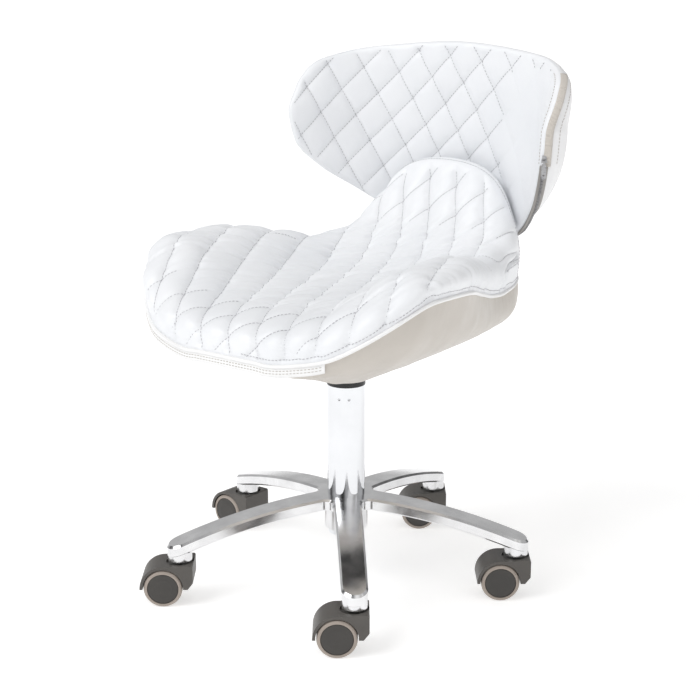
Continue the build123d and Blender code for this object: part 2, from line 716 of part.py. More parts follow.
# ------------------------------------------------------------------ back
def back_curve(section, offset, share=1.0):
    """Points of one wrapped curve, offset backwards from the front surface, from tip to tip."""
    z, tip_x, tip_y, middle_y, factor = section
    tip_x *= share
    tip_y = middle_y - (middle_y - tip_y) * share ** BACK_CLOSING
    depth = BACK_THICK / 2 * (1 - factor) + offset * factor
    wrap = (middle_y - tip_y) / tip_x
    lean = math.atan(1.3 * wrap)
    lean_tip = math.atan(2.6 * wrap)
    shoulder = (
        0.745 * tip_x + depth * math.sin(lean),
        middle_y - 0.33 * (middle_y - tip_y) + depth * math.cos(lean))
    tip_depth = 4 + 0.45 * depth
    tip = (tip_x + tip_depth * math.sin(lean_tip), tip_y + tip_depth * math.cos(lean_tip))
    right = [tip, shoulder]
    left = [(-x, y) for x, y in right]
    return [*left, (0, middle_y + depth), *reversed(right)]


def back_layer(layer, sections, share=1.0):
    """A padded layer of the back between two offsets from its front surface."""
    faces = []
    for section in sections:
        with BuildSketch(Plane.XY.offset(section[0])) as sketch:
            with BuildLine():
                front = Spline(*back_curve(section, layer[0], share))
                rear = Spline(*back_curve(section, layer[1], share))
                Line(front @ 0, rear @ 0)
                Line(front @ 1, rear @ 1)
            make_face()
        faces.append(sketch.sketch)
    with BuildPart() as solid:
        loft(faces, ruled=True)
    return solid.part


def rim_point(index, outward):
    """A point in the seam on the sitter's-left rim of a section, moved out along the surface."""
    section = BACK_SECTIONS[index]
    curve = back_curve(section, (PAD_LAYER[1] + COVER_LAYER[0]) / 2)
    tip = Vector(*curve[-1], 0)
    away = (tip - Vector(*curve[-2], 0)).normalized()
    return tip + away * outward + Vector(0, 0, section[0])


def rim_plane(index, outward):
    """A plane at the rim: x across the seam towards the back, y up, z out of the seam."""
    away = rim_point(index, 1) - rim_point(index, 0)
    across = Vector(0, 0, 1).cross(away)
    return Plane(origin=rim_point(index, outward), x_dir=across, z_dir=away)


def back_screw_places():
    return [(x, z) for z in (490.0, 535.0) for x in (-14.0, 14.0)]


def make_back():
    with BuildPart() as screws:
        with BuildSketch(Plane.XZ.offset(-BRACKET_Y)):
            with Locations(*back_screw_places()):
                Circle(6)
        extrude(amount=3)
        with BuildSketch(Plane.XZ.offset(-BRACKET_Y - SCREW_LENGTH)):
            with Locations(*back_screw_places()):
                Circle(2.5)
        extrude(amount=SCREW_LENGTH)
    with BuildPart() as drilled:
        add(bracket_solid(0))
        add(screws.part, mode=Mode.SUBTRACT)
    save(drilled.part, "back_bracket")

    with BuildPart() as shell:
        add(back_layer(SHELL_LAYER, BACK_SECTIONS[SHELL_LOW:SHELL_HIGH + 1], SHELL_INSET))
        add(screws.part, mode=Mode.SUBTRACT)
        add(bracket_solid(GAP), mode=Mode.SUBTRACT)
    save(shell.part, "back_shell")
    save(screws.part, "back_screws")

    with BuildPart() as screw_room:
        with BuildSketch(Plane.XZ.offset(-BRACKET_Y - SCREW_LENGTH - GAP)):
            with Locations(*back_screw_places()):
                Circle(6 + GAP)
        extrude(amount=SCREW_LENGTH + 4)

    with BuildPart() as pad:
        add(back_layer(PAD_LAYER, BACK_SECTIONS))
        add(shell.part, mode=Mode.SUBTRACT)
        add(bracket_solid(GAP), mode=Mode.SUBTRACT)
        add(screw_room.part, mode=Mode.SUBTRACT)
    save(pad.part, "back_cushion")

    with BuildPart() as cover:
        add(back_layer(COVER_LAYER, BACK_SECTIONS))
        add(shell.part, mode=Mode.SUBTRACT)
        add(bracket_solid(GAP), mode=Mode.SUBTRACT)
        add(screw_room.part, mode=Mode.SUBTRACT)
    save(cover.part, "back_cover")


def make_zip():
    with BuildPart() as teeth:
        with BuildLine() as path:
            smooth_route([rim_point(index, ZIP_RADIUS + RIM_ROOM) for index in ZIP_SECTIONS])
        with BuildSketch(Plane(origin=path.line @ 0, z_dir=path.line % 0)):
            Circle(ZIP_RADIUS)
        sweep(path=path.line)
    save(teeth.part, "back_zip")

    seat = rim_plane(ZIP_SECTIONS[-1], 0)
    with BuildPart() as slider:
        with BuildSketch(Plane.XY.offset(RIM_ROOM)):
            with Locations((0, 7)):
                Trapezoid(8, 9, 80)
        extrude(amount=3.5)
        with BuildSketch(Plane.XY.offset(RIM_ROOM + 3.5)):
            with Locations((-1.9, 5), (1.9, 5)):
                Rectangle(1, 3.2)
        extrude(amount=3)
        with BuildSketch(Plane.YZ.offset(-2.4)):
            with Locations((5, PULL_AXIS)):
                Circle(0.7)
        extrude(amount=4.8)
    save(seat.from_local_coords(slider.part), "zip_slider")

    with BuildPart() as pull:
        with BuildSketch(Plane.YZ.offset(-1.2)):
            with Locations((5, PULL_AXIS)):
                Circle(1.5)
            with Locations((2.6, PULL_AXIS)):
                Rectangle(4, 1.2)
            with Locations((5, PULL_AXIS)):
                Circle(0.7 + RUN, mode=Mode.SUBTRACT)
        extrude(amount=2.4)
        with BuildSketch(Plane.XY.offset(PULL_AXIS - 0.6)):
            with Locations((0, -8)):
                SlotOverall(20, 6, rotation=90)
                with Locations((0, -5)):
                    Circle(1.4, mode=Mode.SUBTRACT)
        extrude(amount=1.2)
    save(seat.from_local_coords(pull.part), "zip_pull")
    hinge = seat.from_local_coords(Vector(0, 5, PULL_AXIS))
    print("zip pull hinge at", hinge, "axis", seat.x_dir)


make_star_base()
make_column()
make_gas_spring()
make_seat_plate()
make_lever()
make_caster_stems()
for number, (angle, heading) in enumerate(zip(arm_angles(), CASTER_HEADINGS), start=1):
    make_caster(number, angle, heading)
make_seat()
make_back()
make_zip()
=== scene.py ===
"""A rolling stylist stool: its looks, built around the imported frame. Lengths are in metres."""
import math

import bmesh
import bpy
import numpy as np
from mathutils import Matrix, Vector, noise


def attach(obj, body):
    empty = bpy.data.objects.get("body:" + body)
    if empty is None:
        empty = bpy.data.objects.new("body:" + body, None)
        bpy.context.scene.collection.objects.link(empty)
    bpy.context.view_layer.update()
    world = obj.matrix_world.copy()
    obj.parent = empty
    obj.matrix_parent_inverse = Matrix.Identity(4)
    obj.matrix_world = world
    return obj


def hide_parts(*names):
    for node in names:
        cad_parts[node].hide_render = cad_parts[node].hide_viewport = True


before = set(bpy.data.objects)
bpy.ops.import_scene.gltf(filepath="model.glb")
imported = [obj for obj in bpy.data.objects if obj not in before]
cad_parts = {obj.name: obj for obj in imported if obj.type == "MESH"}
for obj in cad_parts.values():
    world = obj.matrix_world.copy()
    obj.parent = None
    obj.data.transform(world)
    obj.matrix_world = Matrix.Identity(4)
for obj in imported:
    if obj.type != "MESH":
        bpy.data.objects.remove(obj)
bpy.context.view_layer.update()

MM = 0.001

# ------------------------------------------------------------------ view
CAMERA_AZIMUTH = 37.0      # degrees round from the front towards the sitter's left
CAMERA_ELEVATION = 15.06
CAMERA_DISTANCE = 2.0554
CAMERA_AIM = (0.0, 0.0, 0.3164)
CAMERA_LENS = 81.05        # for a sensor 36 mm wide
CAMERA_SHIFT = 0.0054

# ------------------------------------------------------------------ seat
# The pad's sections, front to rear, in mm: y, then (x, z) of the seam, side, crown, slope and middle.
PAD_SECTIONS = (
    (-236, (58, 357.5), (54, 358.5), (44, 359), (22, 359), (0, 359)),
    (-235, (66, 358), (65, 363), (50, 367), (25, 368), (0, 368)),
    (-232, (84, 360), (84, 368), (66, 378), (33, 380), (0, 380)),
    (-228, (101, 363), (101, 372), (82, 384), (41, 387), (0, 387)),
    (-221, (122, 367), (122, 377), (100, 391), (50, 393), (0, 393)),
    (-212, (142, 374), (143, 384), (120, 397), (60, 398), (0, 398)),
    (-170, (189, 407), (193, 424), (172, 431), (90, 412), (0, 408)),
    (-115, (213, 432), (215, 452), (190, 463), (92, 421), (0, 411)),
    (-40, (208, 428), (210, 452), (188, 464), (90, 424), (0, 412)),
    (40, (180, 408), (184, 432), (166, 450), (84, 422), (0, 416)),
    (110, (152, 389), (157, 420), (138, 437), (72, 429), (0, 425)),
    (165, (136, 381), (141, 418), (124, 441), (70, 452), (0, 454)),
    (205, (126, 381), (131, 420), (115, 466), (75, 498), (0, 502)),
    (236, (114, 383), (117, 425), (104, 474), (74, 521), (0, 541)),
    (248, (106, 387), (108, 425), (95, 472), (68, 517), (0, 538)),
    (254, (90, 396), (91, 425), (80, 462), (54, 503), (0, 522)))
# The under cover's sections: y, then (x, z) of its bulge and of its flat underside's edge.
UNDER_SECTIONS = (
    (-237, (56, 352), (50, 346)), (-233, (66, 352), (54, 345.5)), (-228, (98, 356), (74, 345)),
    (-221, (118, 358), (90, 344)), (-212, (138, 361), (100, 343)), (-170, (182, 380), (112, 330)),
    (-115, (203, 390), (116, 321.7)), (-40, (199, 384), (116, 321.7)), (40, (177, 370), (112, 321.7)),
    (110, (154, 357), (108, 321.7)), (165, (140, 352), (104, 321.7)), (205, (130, 353), (100, 323)),
    (236, (116, 360), (90, 335)), (250, (104, 368), (78, 346)), (255, (88, 376), (64, 354)))
SEAT_ROWS = 250
SEAT_COLUMNS = 240
UNDER_COLUMNS = 150
PAD_FOAM = 30 * MM
REAR_PANEL = 0.230         # y where the tongue's quilting ends at a plain rear panel
LID_REACH = 25 * MM        # how far in from the front and rear the hidden lids are at their full dip
TONGUE_FROM = 0.12         # y where the seat starts to turn up into the tongue
TONGUE_TURN = 0.06
WRINKLE_PITCH = 6.5 * MM
WRINKLE_DEPTH = 6.5 * MM
COVER_SIDE_POINTS = 46     # points down the under cover's side, of the UNDER_COLUMNS / 2 to the middle
BAND_RIGHT_END = -0.10     # y where the front band ends on the sitter's right
BAND_LEFT_END = -0.216

# ------------------------------------------------------------------ back
# The front of the back's sections, upwards, in mm: z, tip x, tip y and the middle's y.
BACK_SECTIONS = (
    (332, 42, 262, 262), (400, 48, 262, 262), (446, 104, 249, 260), (480, 135, 218, 262),
    (520, 169, 172, 263), (560, 191, 142, 264), (600, 197, 136, 264), (640, 199, 156, 260),
    (668, 198, 173, 257), (700, 194, 190, 254))
BACK_TOP = ((200, 652), (196, 663), (187, 671.5), (160, 681), (110, 689), (60, 694), (0, 697))
BACK_CORNER = 2            # the point of BACK_TOP where the side's edge turns into the top's
BACK_THICK = 30 * MM
RIM_SHARE = 0.45           # how thick the back is at its rim, as a share of its middle
RIM_REACH = 50 * MM
RIM_LINE_TOP = 0.641       # z where the side's line goes over to the points of BACK_TOP
SEAM_DEPTH = 8 * MM        # the rim's seam behind the front surface
ZIP_TOP = 0.5585           # z where the zip's slider stands
ZIP_BOTTOM = 0.400
SEAM_THREAD_TOP = 0.672
WELT_TOP = 0.676
BACK_ROWS = 190
BACK_COLUMNS = 200
BACK_LEVELS = 90
BACK_SHARES = 161
FINE_POINTS = 400          # points on the finely divided lines that the rim is read from

# ------------------------------------------------------------------ quilting
# Each set of stitched lines: its turn in degrees, the space between lines, the place of one line,
# how deep it pulls the pad in, and how far that reaches. The seat's are placed from the tongue's crest.
SEAT_QUILT = (
    (21.0, 40.5 * MM, 11 * MM, 5.8 * MM, 6.5 * MM),
    (-38.0, 39 * MM, 45.7 * MM, 2.6 * MM, 4.5 * MM))
BACK_QUILT = (
    (29.0, 41.6 * MM, 0.3146, 4.2 * MM, 6.0 * MM),
    (-45.0, 39.6 * MM, -0.4905, 3.0 * MM, 5.0 * MM))
THREAD_LIFT = 0.3 * MM     # how far a stitch's middle stands off the skin


# ------------------------------------------------------------------ curves and surfaces
def run_along(points):
    """The distance along a line of points, from the first to each."""
    steps = np.linalg.norm(np.diff(points, axis=0), axis=1)
    return np.concatenate([[0], np.cumsum(steps)])


def eased(value, low, high):
    """0 below low, 1 above high, and smooth in between."""
    share = np.clip((value - low) / (high - low), 0, 1)
    return share * share * (3 - 2 * share)


def smooth_through(knots, values, at):
    """Values on a smooth curve that never swings past the given ones."""
    step = np.diff(knots)[:, None]
    slope = np.diff(values, axis=0) / step
    product = slope[1:] * slope[:-1]
    total = slope[1:] + slope[:-1]
    tangent = np.vstack([slope[:1], np.zeros_like(slope[1:]), slope[-1:]])
    tangent[1:-1] = np.where(product > 0, 2 * product / np.where(product > 0, total, 1), 0)
    index = np.clip(np.searchsorted(knots, at) - 1, 0, len(step) - 1)
    size = step[index]
    share = ((at - knots[index]) / size[:, 0])[:, None]
    rest = 1 - share
    return ((1 + 2 * share) * rest ** 2 * values[index] + share * rest ** 2 * size * tangent[index]
            + share ** 2 * (1 + 2 * rest) * values[index + 1]
            - share ** 2 * rest * size * tangent[index + 1])


def natural_spline(knots, values, at):
    """Values on the bending curve of a thin rod held at the given ones."""
    count = len(knots)
    size = np.diff(knots)
    system = np.eye(count)
    load = np.zeros_like(values)
    for i in range(1, count - 1):
        system[i, i - 1:i + 2] = size[i - 1], 2 * (size[i - 1] + size[i]), size[i]
        load[i] = 6 * ((values[i + 1] - values[i]) / size[i] - (values[i] - values[i - 1]) / size[i - 1])
    bend = np.linalg.solve(system, load)
    index = np.clip(np.searchsorted(knots, at) - 1, 0, count - 2)
    width = size[index][:, None]
    after = (at - knots[index])[:, None]
    before = width - after
    return (bend[index] * before ** 3 / (6 * width) + bend[index + 1] * after ** 3 / (6 * width)
            + (values[index] / width - bend[index] * width / 6) * before
            + (values[index + 1] / width - bend[index + 1] * width / 6) * after)


def evenly(points, count):
    """Points spaced evenly along the smooth curve through the given ones."""
    points = np.asarray(points, float)
    knots = run_along(points)
    fine = natural_spline(knots, points, np.linspace(0, knots[-1], 6 * count))
    run = run_along(fine)
    at = np.linspace(0, run[-1], count)
    return np.column_stack([np.interp(at, run, column) for column in fine.T])


def mirrored(points):
    """A half section from the middle out, with its mirror image: from -x to +x."""
    points = np.asarray(points, float)
    return np.vstack([points[:0:-1] * (-1, 1), points])


def normals_of(grid):
    """Unit normals of a grid of points: the way across its columns crossed with the way along its rows."""
    across = np.gradient(grid, axis=1)
    along = np.gradient(grid, axis=0)
    normal = np.cross(across, along)
    return normal / np.maximum(np.linalg.norm(normal, axis=2, keepdims=True), 1e-12)


def nearest_distance(grid, line):
    """The distance from each point of a grid to the nearest point of a line."""
    flat = grid.reshape(-1, 3)
    nearest = np.full(len(flat), 1e9)
    for start in range(0, len(line), 40):
        gap = flat[:, None, :] - line[None, start:start + 40, :]
        nearest = np.minimum(nearest, np.sqrt((gap ** 2).sum(2)).min(1))
    return nearest.reshape(grid.shape[:2])


def ripples(first, second, third=0.0):
    """Smooth noise from -1 to 1 at places given as arrays."""
    first, second = np.broadcast_arrays(first, second)
    values = [noise.noise(Vector((a, b, third))) for a, b in zip(first.ravel(), second.ravel())]
    return np.array(values).reshape(first.shape)


def make_piece(name, points, faces, finish, slot=None, sharp=None):
    """A mesh piece that rides on the seat; its slot is not used. Thread has no slot of its own in the
    record.
    """
    mesh = bpy.data.meshes.new(name)
    mesh.from_pydata([tuple(p) for p in points], [], faces)
    cleaner = bmesh.new()
    cleaner.from_mesh(mesh)
    bmesh.ops.remove_doubles(cleaner, verts=cleaner.verts, dist=1e-6)
    bmesh.ops.recalc_face_normals(cleaner, faces=cleaner.faces)
    cleaner.to_mesh(mesh)
    cleaner.free()
    for polygon in mesh.polygons:
        polygon.use_smooth = True
    if sharp:
        mesh.set_sharp_from_angle(angle=math.radians(sharp))
    piece = bpy.data.objects.new(name, mesh)
    bpy.context.scene.collection.objects.link(piece)
    piece.data.materials.append(finish)
    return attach(piece, "seat")


def closed_sheet(name, outer, inner, finish, slot, sharp=None):
    """A closed piece between two grids of the same size."""
    rows, columns = outer.shape[:2]
    size = rows * columns
    points = np.concatenate([outer.reshape(-1, 3), inner.reshape(-1, 3)])
    faces = []
    for r in range(rows - 1):
        for c in range(columns - 1):
            a = r * columns + c
            quad = (a, a + 1, a + columns + 1, a + columns)
            faces.append(quad)
            faces.append(tuple(size + i for i in reversed(quad)))
    border = list(range(columns))
    border += [r * columns + columns - 1 for r in range(1, rows)]
    border += [(rows - 1) * columns + c for c in range(columns - 2, -1, -1)]
    border += [r * columns for r in range(rows - 2, 0, -1)]
    for a, b in zip(border, border[1:] + border[:1]):
        faces.append((a, b, size + b, size + a))
    return make_piece(name, points, faces, finish, slot, sharp)


def tube_of(route, radius, sides):
    """Points and faces of a round tube along a route."""
    route = np.asarray(route, float)
    ahead = np.roll(route, -1, 0) - np.roll(route, 1, 0)
    ahead[0] = route[1] - route[0]
    ahead[-1] = route[-1] - route[-2]
    ahead /= np.linalg.norm(ahead, axis=1, keepdims=True)
    up = np.where(np.abs(ahead[:, 2:3]) > 0.9, (1.0, 0.0, 0.0), (0.0, 0.0, 1.0))
    side = np.cross(ahead, up)
    side /= np.linalg.norm(side, axis=1, keepdims=True)
    up = np.cross(side, ahead)
    turns = np.linspace(0, 2 * np.pi, sides, endpoint=False)
    ring = np.cos(turns)[None, :, None] * side[:, None, :] + np.sin(turns)[None, :, None] * up[:, None, :]
    radius = np.broadcast_to(radius, len(route))
    points = (route[:, None, :] + ring * radius[:, None, None]).reshape(-1, 3)
    faces = []
    rings = len(route)
    for r in range(rings - 1):
        for s in range(sides):
            a, b = r * sides + s, r * sides + (s + 1) % sides
            faces.append((a, b, b + sides, a + sides))
    faces.append(tuple(range(sides)))
    faces.append(tuple(range((rings - 1) * sides, rings * sides)))
    return points, faces


def joined(parts):
    """Points and faces of several meshes as one."""
    points, faces, count = [], [], 0
    for more_points, more_faces in parts:
        points.append(more_points)
        faces += [tuple(count + i for i in face) for face in more_faces]
        count += len(more_points)
    return np.concatenate(points), faces


def lofted(route, first, second, profile):
    """A closed profile carried along a route; its numbers are distances along two directions."""
    profile = np.asarray(profile, float)
    points = (route[:, None, :] + first[:, None, :] * profile[None, :, :1]
              + second[:, None, :] * profile[None, :, 1:]).reshape(-1, 3)
    sides = len(profile)
    faces = [tuple(range(sides)), tuple(range(len(points) - sides, len(points)))]
    for r in range(len(route) - 1):
        for s in range(sides):
            a, b = r * sides + s, r * sides + (s + 1) % sides
            faces.append((a, b, b + sides, a + sides))
    return points, faces


def stitches(route, pitch=4.6 * MM, share=0.72, radius=0.45 * MM):
    """A row of stitches along a route: each a short thread that dips in at its ends."""
    route = np.asarray(route, float)
    run = run_along(route)
    parts = []
    for start in np.arange(0, run[-1] - pitch, pitch):
        at = start + np.linspace(0, share * pitch, 5)
        line = np.column_stack([np.interp(at, run, column) for column in route.T])
        parts.append(tube_of(line, radius * np.array([0.35, 0.9, 1.0, 0.9, 0.35]), 6))
    return parts


def make_stitching(name, routes, finish):
    """One piece of all the stitches along some routes."""
    parts = [part for route in routes for part in stitches(route)]
    return make_piece(name, *joined(parts), finish)


def quilt_routes(surface, across, along, quilt, wanted):
    """The stitched lines of a quilted surface, each as a chain of points, where wanted."""
    gap = 7 * MM
    fewest = 5
    chains = []
    for turn, spacing, place, *_ in quilt:
        position = quilt_position(across, along, turn, spacing, place)
        whole = np.floor(position)
        open_chains = {}
        for r, c in zip(*np.nonzero((whole[:, 1:] != whole[:, :-1]) & wanted[:, 1:])):
            line = max(whole[r, c], whole[r, c + 1])
            share = (line - position[r, c]) / (position[r, c + 1] - position[r, c])
            point = surface[r, c] * (1 - share) + surface[r, c + 1] * share
            mine = open_chains.setdefault(line, [])
            near = [chain for chain in mine if np.linalg.norm(chain[-1] - point) < gap]
            if near:
                near[0].append(point)
            else:
                mine.append([point])
        chains += [chain for mine in open_chains.values() for chain in mine if len(chain) > fewest]
    return chains


def inset_route(surface, edge, distance):
    """The line on a surface at a distance from its last column's edge, row by row."""
    back = edge[:, ::-1] >= distance
    rows = np.nonzero(back.any(1))[0]
    columns = edge.shape[1] - 1 - np.argmax(back[rows], axis=1)
    return surface[rows, columns]


# ------------------------------------------------------------------ materials
def blank(name):
    """A new material, with its nodes, links and shader and the places on the object."""
    material = bpy.data.materials.new(name)
    material.use_nodes = True
    nodes = material.node_tree.nodes
    shader = nodes["Principled BSDF"]
    places = nodes.new("ShaderNodeTexCoord").outputs["Object"]
    return material, nodes, material.node_tree.links, shader, places


def pattern(nodes, links, places, scale, detail=3.0, stretch=None):
    """Noise at a scale of so many waves in a metre."""
    if stretch:
        mapping = nodes.new("ShaderNodeMapping")
        mapping.inputs["Scale"].default_value = stretch
        links.new(places, mapping.inputs["Vector"])
        places = mapping.outputs["Vector"]
    texture = nodes.new("ShaderNodeTexNoise")
    texture.inputs["Scale"].default_value = scale
    texture.inputs["Detail"].default_value = detail
    links.new(places, texture.inputs["Vector"])
    return texture.outputs["Fac"]


def between(nodes, links, factor, low, high):
    """A number that follows a pattern between two limits."""
    ranged = nodes.new("ShaderNodeMapRange")
    ranged.inputs["From Min"].default_value = 0.3
    ranged.inputs["From Max"].default_value = 0.7
    ranged.inputs["To Min"].default_value = low
    ranged.inputs["To Max"].default_value = high
    links.new(factor, ranged.inputs["Value"])
    return ranged.outputs["Result"]


def tinted(nodes, links, factor, first, second):
    """A colour that follows a pattern between two colours."""
    ramp = nodes.new("ShaderNodeValToRGB")
    ramp.color_ramp.elements[0].position = 0.3
    ramp.color_ramp.elements[1].position = 0.7
    ramp.color_ramp.elements[0].color = (*first, 1)
    ramp.color_ramp.elements[1].color = (*second, 1)
    links.new(factor, ramp.inputs["Fac"])
    return ramp.outputs["Color"]


def raised(nodes, links, shader, height, depth, under=None):
    """Bump from a height pattern, over another bump if one is given."""
    bump = nodes.new("ShaderNodeBump")
    bump.inputs["Strength"].default_value = 1.0
    bump.inputs["Distance"].default_value = depth
    links.new(height, bump.inputs["Height"])
    if under:
        links.new(under, bump.inputs["Normal"])
    links.new(bump.outputs["Normal"], shader.inputs["Normal"])
    return bump.outputs["Normal"]


def leather(name, dark, light, roughness=0.42, grain=0.05 * MM):
    """Soft vinyl leather: a pebbled grain, faint creases and a dull sheen."""
    material, nodes, links, shader, places = blank(name)
    mottle = pattern(nodes, links, places, 9.0)
    links.new(tinted(nodes, links, mottle, dark, light), shader.inputs["Base Color"])
    wear = pattern(nodes, links, places, 60.0)
    links.new(between(nodes, links, wear, roughness - 0.05, roughness + 0.07), shader.inputs["Roughness"])
    pebbles = nodes.new("ShaderNodeTexVoronoi")
    pebbles.inputs["Scale"].default_value = 800.0
    links.new(places, pebbles.inputs["Vector"])
    soft = raised(nodes, links, shader, pattern(nodes, links, places, 45.0, 4.0), 0.35 * MM)
    raised(nodes, links, shader, pebbles.outputs["Distance"], grain, soft)
    shader.inputs["Sheen Weight"].default_value = 0.08
    shader.inputs["Specular IOR Level"].default_value = 0.45
    return material


def metal(name, dark, light, rough_low, rough_high, scale=30.0, stretch=None, depth=0.02 * MM):
    """Metal with a finish that varies: polish marks, casting skin or brushing."""
    material, nodes, links, shader, places = blank(name)
    shader.inputs["Metallic"].default_value = 1.0
    marks = pattern(nodes, links, places, scale, 5.0, stretch)
    links.new(tinted(nodes, links, marks, dark, light), shader.inputs["Base Color"])
    links.new(between(nodes, links, marks, rough_low, rough_high), shader.inputs["Roughness"])
    raised(nodes, links, shader, marks, depth)
    return material


def plastic(name, dark, light, rough_low, rough_high, scale=700.0, depth=0.03 * MM):
    """Moulded plastic or rubber with a fine spark-eroded texture."""
    material, nodes, links, shader, places = blank(name)
    cloud = pattern(nodes, links, places, 22.0)
    links.new(tinted(nodes, links, cloud, dark, light), shader.inputs["Base Color"])
    links.new(between(nodes, links, cloud, rough_low, rough_high), shader.inputs["Roughness"])
    raised(nodes, links, shader, pattern(nodes, links, places, scale, 2.0), depth)
    return material


def wood(name):
    """Birch plywood: long grain on the face."""
    material, nodes, links, shader, places = blank(name)
    grain = pattern(nodes, links, places, 40.0, 6.0, (1.0, 0.08, 6.0))
    colour = tinted(nodes, links, grain, (0.36, 0.22, 0.11), (0.62, 0.43, 0.25))
    links.new(colour, shader.inputs["Base Color"])
    shader.inputs["Roughness"].default_value = 0.62
    raised(nodes, links, shader, grain, 0.15 * MM)
    return material


def ribbed_cloth(name, dark, light, waves):
    """Woven tape with ribs across it."""
    material, nodes, links, shader, places = blank(name)
    ribs = nodes.new("ShaderNodeTexWave")
    ribs.bands_direction = "Z"
    ribs.inputs["Scale"].default_value = waves
    ribs.inputs["Distortion"].default_value = 0.6
    links.new(places, ribs.inputs["Vector"])
    links.new(tinted(nodes, links, ribs.outputs["Fac"], dark, light), shader.inputs["Base Color"])
    shader.inputs["Roughness"].default_value = 0.8
    raised(nodes, links, shader, ribs.outputs["Fac"], 0.25 * MM)
    return material


def slot_of(material):
    """The record's slot that a material is for: its name without the number that Blender adds."""
    return material.name.split(".")[0]


FINISHES = {slot_of(finish): finish for finish in (
    metal("polished_aluminium", (0.70, 0.70, 0.71), (0.86, 0.86, 0.87), 0.13, 0.24, 35.0),
    metal("chrome_tube", (0.74, 0.75, 0.77), (0.84, 0.85, 0.87), 0.04, 0.08, 12.0, depth=0.004 * MM),
    metal("cylinder_chrome", (0.68, 0.69, 0.71), (0.80, 0.81, 0.83), 0.08, 0.16, 14.0),
    metal("steel", (0.42, 0.42, 0.43), (0.62, 0.62, 0.63), 0.28, 0.42, 90.0),
    metal("lever_steel", (0.62, 0.62, 0.64), (0.78, 0.78, 0.80), 0.16, 0.28, 60.0),
    metal("zip_metal", (0.30, 0.30, 0.31), (0.52, 0.52, 0.53), 0.22, 0.38, 300.0),
    plastic("black_plastic", (0.010, 0.010, 0.011), (0.020, 0.020, 0.021), 0.34, 0.5),
    plastic("bush_plastic", (0.012, 0.012, 0.012), (0.024, 0.024, 0.024), 0.4, 0.55),
    plastic("rubber", (0.018, 0.018, 0.018), (0.032, 0.032, 0.031), 0.65, 0.8),
    plastic("black_steel", (0.014, 0.014, 0.015), (0.028, 0.028, 0.029), 0.38, 0.55, 1200.0),
    plastic("caster_plastic", (0.070, 0.064, 0.058), (0.092, 0.085, 0.077), 0.36, 0.52),
    plastic("wheel_plastic", (0.038, 0.035, 0.032), (0.058, 0.053, 0.048), 0.42, 0.58),
    plastic("tread_taupe", (0.30, 0.255, 0.22), (0.38, 0.33, 0.29), 0.5, 0.66, 400.0),
    wood("plywood"),
    leather("white_leatherette", (0.80, 0.815, 0.84), (0.85, 0.86, 0.88)),
    leather("back_leatherette", (0.80, 0.80, 0.81), (0.85, 0.85, 0.855)),
    leather("side_leatherette", (0.52, 0.485, 0.44), (0.61, 0.57, 0.525)),
    leather("piping_white", (0.84, 0.84, 0.84), (0.90, 0.90, 0.90), 0.32),
    ribbed_cloth("zip_tape", (0.22, 0.21, 0.20), (0.42, 0.40, 0.38), 260.0),
    plastic("thread", (0.40, 0.40, 0.42), (0.54, 0.54, 0.56), 0.6, 0.75, 2500.0, 0.08 * MM),
    plastic("thread_warm", (0.40, 0.37, 0.34), (0.55, 0.52, 0.48), 0.6, 0.75, 2500.0, 0.08 * MM))}


def dress_cad_nodes():
    """Every CAD node takes the finish of the record's slot that its material names."""
    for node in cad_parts.values():
        for slot in node.material_slots:
            slot.material = FINISHES[slot_of(slot.material)]


# ------------------------------------------------------------------ quilting
def quilt_position(across, along, turn, spacing, place):
    """Whole numbers on the stitched lines of one set."""
    turn = math.radians(turn)
    return (across * math.cos(turn) + along * math.sin(turn) - place) / spacing


def pulled_in(across, along, quilt):
    """How far two sets of stitched lines pull a pad in, and how near the first set is."""
    total = np.zeros_like(across)
    nearness = None
    for turn, spacing, place, depth, reach in quilt:
        position = quilt_position(across, along, turn, spacing, place)
        off = np.abs((position + 0.5) % 1 - 0.5) * spacing
        total += depth * np.exp(-off / reach)
        if nearness is None:
            nearness = np.exp(-off / (2.0 * reach))
    return total, nearness


# ------------------------------------------------------------------ seat
def seat_table(rows):
    """The pad's section table at even steps along its middle line, in metres."""
    table = np.array([[y, *(value for point in points for value in point)]
                      for y, *points in PAD_SECTIONS], float) * MM
    run = run_along(table[:, [0, -1]])
    at = np.linspace(0, run[-1], rows)
    return smooth_through(run, table, at), at


def seat_surface():
    """The pad's upper surface as a grid, and the distance along the middle of each row."""
    table, at = seat_table(SEAT_ROWS)
    grid = np.empty((SEAT_ROWS, SEAT_COLUMNS, 3))
    for row, values in enumerate(table):
        half = values[1:].reshape(5, 2)[::-1]
        section = evenly(mirrored(half), SEAT_COLUMNS)
        grid[row, :, 0] = section[:, 0]
        grid[row, :, 1] = values[0]
        grid[row, :, 2] = section[:, 1]
    return grid, at


def lid_under(grid, lowest):
    """A hidden surface from edge to edge of a grid, dipping to a lowest height in each row."""
    columns = grid.shape[1]
    share = np.abs(np.linspace(-1, 1, columns))[None, :]
    edge = grid[:, -1:, :]
    middle_run = run_along(grid[:, columns // 2, :])
    from_ends = np.minimum(middle_run, middle_run[-1] - middle_run)[:, None]
    dip = np.maximum(edge[:, :, 2] - lowest[:, None], 0) * eased(from_ends, 0, LID_REACH)
    lid = np.empty_like(grid)
    lid[:, :, 0] = edge[:, :, 0] * np.linspace(-1, 1, columns)[None, :]
    lid[:, :, 1] = edge[:, :, 1]
    lid[:, :, 2] = edge[:, :, 2] - dip * (1 - share ** 4)
    return lid


